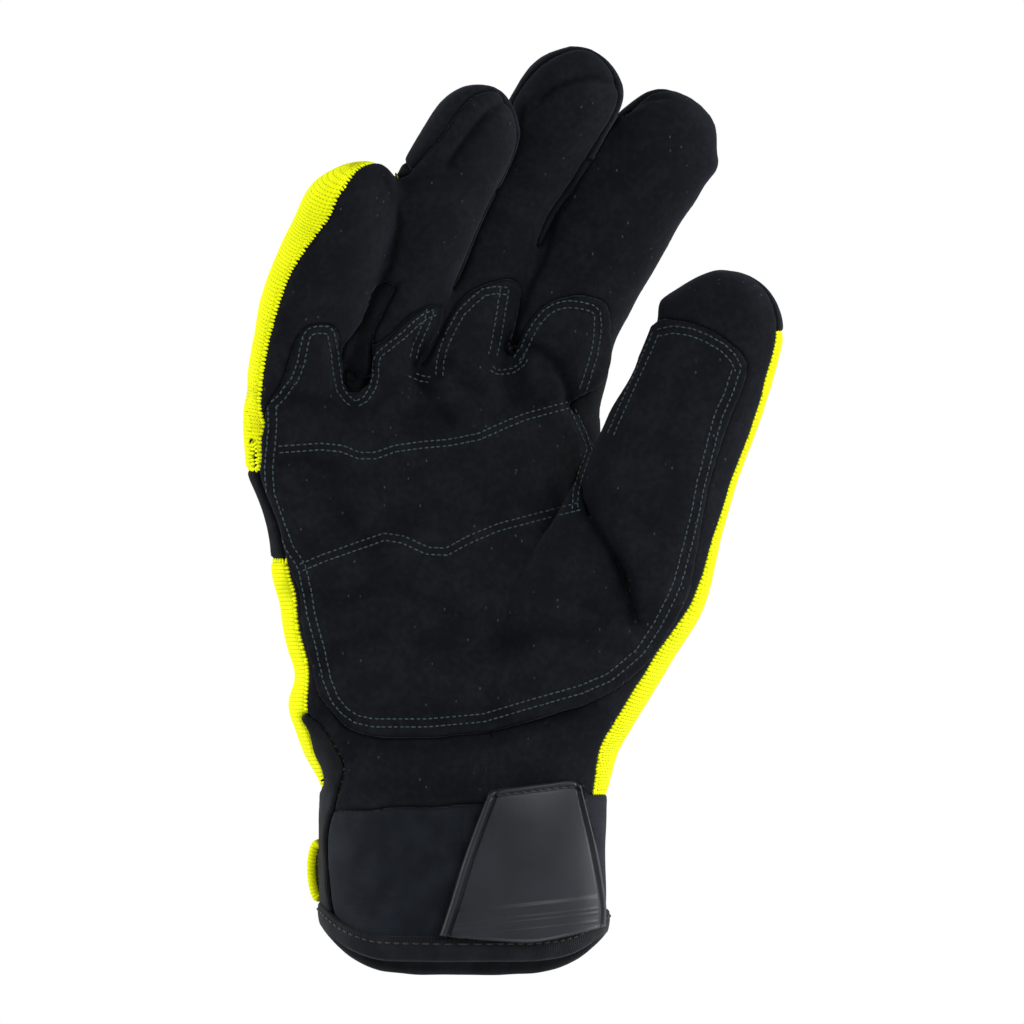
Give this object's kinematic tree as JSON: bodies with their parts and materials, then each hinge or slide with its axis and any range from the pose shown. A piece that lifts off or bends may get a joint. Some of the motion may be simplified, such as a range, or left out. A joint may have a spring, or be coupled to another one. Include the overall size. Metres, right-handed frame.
{
  "type": "puncture resistant work glove",
  "caption": "Right-hand work glove with suede palm, stitched palm and thumb patches, bright knit back, neoprene cuff and moulded rubber tab.",
  "frame": {"origin": "centre of the wrist opening", "axes": "+Z out of the wrist opening's plane towards the fingertips, -Y out of the palm, +X to the thumb side"},
  "size_m": [0.1414, 0.071, 0.2429],
  "materials": {
    "black_suede": "matte brushed nap",
    "patch_suede": "matte brushed nap, double stitched",
    "yellow_knit": "fine ribbed knit, fluorescent",
    "black_flex": "smooth stretch knit",
    "neoprene": "matte jersey faced foam",
    "binding": "fine ribbed tape",
    "badge_rubber": "satin moulded"
  },
  "bodies": {
    "root": {"palm_shell": "black_suede", "back_upper": "yellow_knit", "knuckle_band": "black_flex", "back_lower": "yellow_knit", "little_ring_side": "black_flex", "ring_middle_side": "black_flex", "middle_index_side": "black_flex", "index_tip": "black_suede", "middle_tip": "black_suede", "ring_tip": "black_suede", "thumb_tip": "black_suede", "palm_patch": "patch_suede", "thumb_patch": "patch_suede", "wrist_cuff": "neoprene", "cuff_hem": "binding", "slit_binding": "binding", "wrist_badge": "badge_rubber", "pull_tab": "yellow_knit"}
  },
  "joints": []
}
